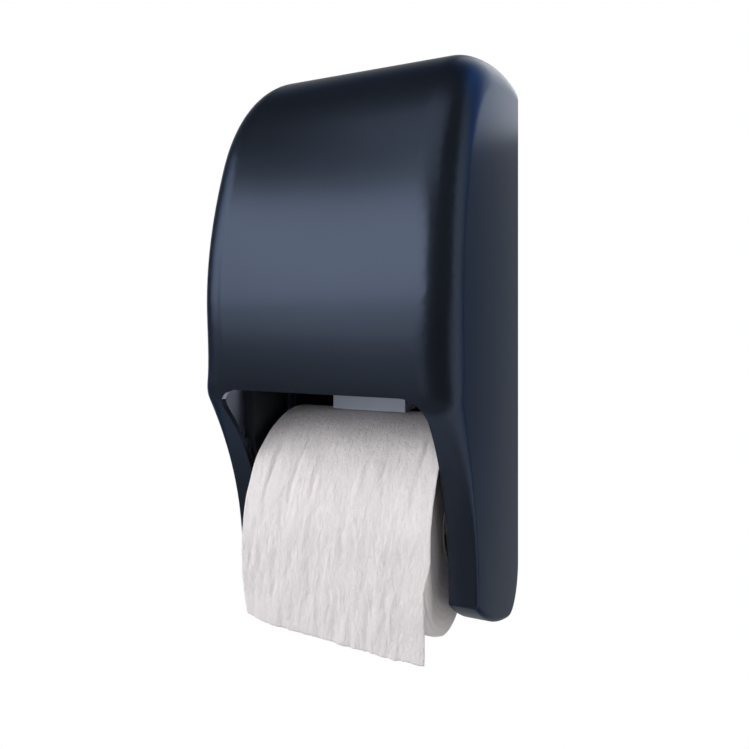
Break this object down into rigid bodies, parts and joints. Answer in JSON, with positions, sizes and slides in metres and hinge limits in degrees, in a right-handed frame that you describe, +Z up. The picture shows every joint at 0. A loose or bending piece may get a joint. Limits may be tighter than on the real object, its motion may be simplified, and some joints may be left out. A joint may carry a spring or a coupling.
{
  "type": "toilet paper dispenser",
  "caption": "Wall-hung toilet paper dispenser with a curved locking cover, a roll in use under the lip and a reserve roll on latches above it.",
  "frame": {"origin": "middle of the wall face, on the wall plane", "axes": "+X to the right of someone facing the front, -Y towards them, +Z up; the wall is y = 0"},
  "size_m": [0.15, 0.16, 0.356],
  "materials": {
    "cover_plastic": "satin dark blue-grey moulded plastic",
    "frame_plastic": "matte mid-grey moulded plastic",
    "light_plastic": "matte light blue-grey moulded plastic",
    "spindle_plastic": "matte dark moulded plastic",
    "steel": "zinc-plated steel",
    "lock_metal": "satin plated lock metal",
    "paper": "soft embossed tissue paper",
    "card": "plain grey-brown card"
  },
  "bodies": {
    "chassis": {"back_plate": "frame_plastic", "left_arm": "frame_plastic", "right_arm": "frame_plastic", "arm_screws": "steel", "lock_keeper": "frame_plastic", "keeper_screws": "steel", "left_hinge_pin": "steel", "right_hinge_pin": "steel", "brake_rod": "steel", "left_latch_pin": "steel", "right_latch_pin": "steel", "paper_tail": "paper"},
    "cover": {"front_cover": "cover_plastic", "lock_housing": "lock_metal", "lock_nut": "steel"},
    "lock": {"lock_plug": "lock_metal", "lock_cam": "steel", "cam_screw": "steel"},
    "roll_in_use": {"lower_roll": "paper", "lower_core": "card", "lower_spindle": "spindle_plastic"},
    "roll_in_reserve": {"reserve_roll": "paper", "reserve_core": "card", "reserve_spindle": "spindle_plastic"},
    "brake": {"brake_flap": "light_plastic"},
    "latch_left": {"left_latch": "light_plastic"},
    "latch_right": {"right_latch": "light_plastic"}
  },
  "joints": [
    {"name": "cover_hinge", "type": "hinge", "parent": "chassis", "child": "cover", "pos_m": [0, -0.025, -0.153], "axis": [1, 0, 0], "range_deg": [0, 95]},
    {"name": "lock_turn", "type": "hinge", "parent": "cover", "child": "lock", "pos_m": [0, -0.03, 0.16], "axis": [0, 0, 1], "range_deg": [0, 90]},
    {"name": "lower_roll_spin", "type": "hinge", "parent": "chassis", "child": "roll_in_use", "pos_m": [0, -0.082, -0.102], "axis": [1, 0, 0], "continuous": true},
    {"name": "reserve_roll_spin", "type": "hinge", "parent": "chassis", "child": "roll_in_reserve", "pos_m": [0, -0.082, 0.072], "axis": [1, 0, 0], "continuous": true},
    {"name": "brake_lift", "type": "hinge", "parent": "chassis", "child": "brake", "pos_m": [0, -0.013, -0.012], "axis": [-1, 0, 0], "range_deg": [0, 25]},
    {"name": "left_latch_push", "type": "hinge", "parent": "chassis", "child": "latch_left", "pos_m": [-0.0538, -0.104, 0.052], "axis": [1, 0, 0], "range_deg": [0, 35]},
    {"name": "right_latch_push", "type": "hinge", "parent": "chassis", "child": "latch_right", "pos_m": [0.0538, -0.104, 0.052], "axis": [1, 0, 0], "range_deg": [0, 35]}
  ]
}
